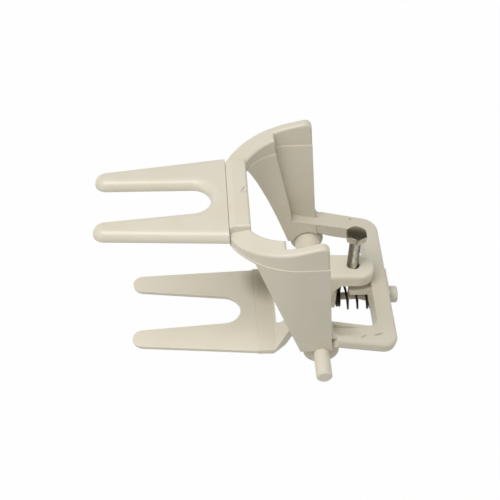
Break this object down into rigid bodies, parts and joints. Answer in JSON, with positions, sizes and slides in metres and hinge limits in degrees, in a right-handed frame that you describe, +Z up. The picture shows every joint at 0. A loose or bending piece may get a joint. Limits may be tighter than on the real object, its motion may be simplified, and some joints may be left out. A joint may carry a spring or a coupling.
{
  "type": "sprung fork clamp",
  "caption": "Hand-sized sprung clamp with two slotted forks, an arched one-piece body, a pivoting lever, a through shaft, a closing spring and a hexagon stop screw.",
  "frame": {"origin": "centre of the pivot, on the shaft's axis and on the body's middle plane", "axes": "+X from the fork tips towards the loop, +Y along the pivot shaft towards its short end, +Z up, from the lower fork to the upper one"},
  "size_m": [0.1547, 0.1094, 0.0941],
  "materials": {
    "body_plastic": "cream moulded plastic, fine satin",
    "fork_plastic": "cream moulded plastic, satin",
    "peg_plastic": "cream moulded plastic, satin",
    "shaft_plastic": "pale plastic rod, satin",
    "washer_plastic": "cream moulded plastic",
    "spring_steel": "dark spring wire",
    "nut_steel": "bright steel",
    "bolt_steel": "bright machined steel"
  },
  "bodies": {
    "frame": {"jaw_body": "body_plastic", "upper_fork": "fork_plastic", "spring_peg": "peg_plastic", "pivot_shaft": "shaft_plastic", "washer_front": "washer_plastic", "washer_rear": "washer_plastic", "closing_spring": "spring_steel"},
    "lever": {"lever_body": "body_plastic", "lower_fork": "fork_plastic", "captive_nut": "nut_steel"},
    "screw": {"stop_bolt": "bolt_steel"}
  },
  "joints": [
    {"name": "lever_pivot", "type": "hinge", "parent": "frame", "child": "lever", "pos_m": [0, 0, 0], "axis": [0, 1, 0], "range_deg": [-14, 0], "stiffness_Nm_per_rad": 0.05, "springref_deg": 114.59, "deforming": ["closing_spring"]},
    {"name": "stop_screw_adjust", "type": "slide", "parent": "lever", "child": "screw", "axis": [0.0349, 0, 0.9994], "range_m": [0, 0.005]}
  ]
}
